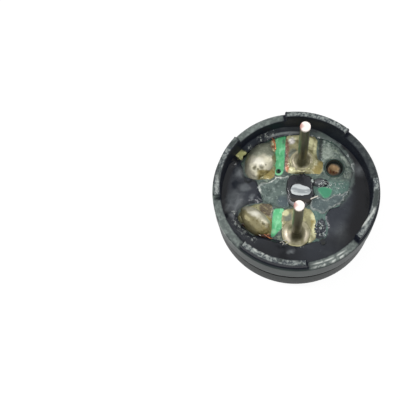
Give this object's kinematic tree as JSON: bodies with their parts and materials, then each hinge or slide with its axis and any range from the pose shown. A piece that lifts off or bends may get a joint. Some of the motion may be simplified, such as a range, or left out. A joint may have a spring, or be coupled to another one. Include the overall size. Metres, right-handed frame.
{
  "type": "magnetic buzzer",
  "caption": "Round magnetic buzzer: a cap with a central sound hole, a grooved base with raised rim lugs, a potted circuit board, and two straight pins.",
  "frame": {"origin": "centre of the sound face, on the axis of the round case", "axes": "+Z along the case's axis from the sound face towards the pins; the two pins stand in a row along Y; +X completes the frame"},
  "size_m": [0.0162, 0.0162, 0.0128],
  "materials": {
    "case": "satin black moulding",
    "epoxy": "glossy black epoxy",
    "board": "green solder mask",
    "foil": "tinned copper under flux",
    "solder": "dull bright solder",
    "pin_metal": "tinned pin",
    "wire": "enamelled copper",
    "iron": "plain iron",
    "magnet": "ferrite",
    "washer": "fibre"
  },
  "bodies": {
    "root": {"cap": "case", "base_housing": "case", "diaphragm": "iron", "armature_disc": "iron", "ring_magnet": "magnet", "yoke_plate": "iron", "pole_core": "iron", "coil_insulator": "washer", "coil_winding": "wire", "coil_lead_a": "wire", "coil_lead_b": "wire", "circuit_board": "board", "pin_pad_a": "foil", "pin_pad_b": "foil", "coil_pad_a": "foil", "coil_pad_b": "foil", "pin_a": "pin_metal", "pin_b": "pin_metal", "pin_solder_a": "solder", "pin_solder_b": "solder", "coil_solder_a": "solder", "coil_solder_b": "solder", "core_glue": "epoxy", "epoxy_potting": "epoxy"}
  },
  "joints": []
}
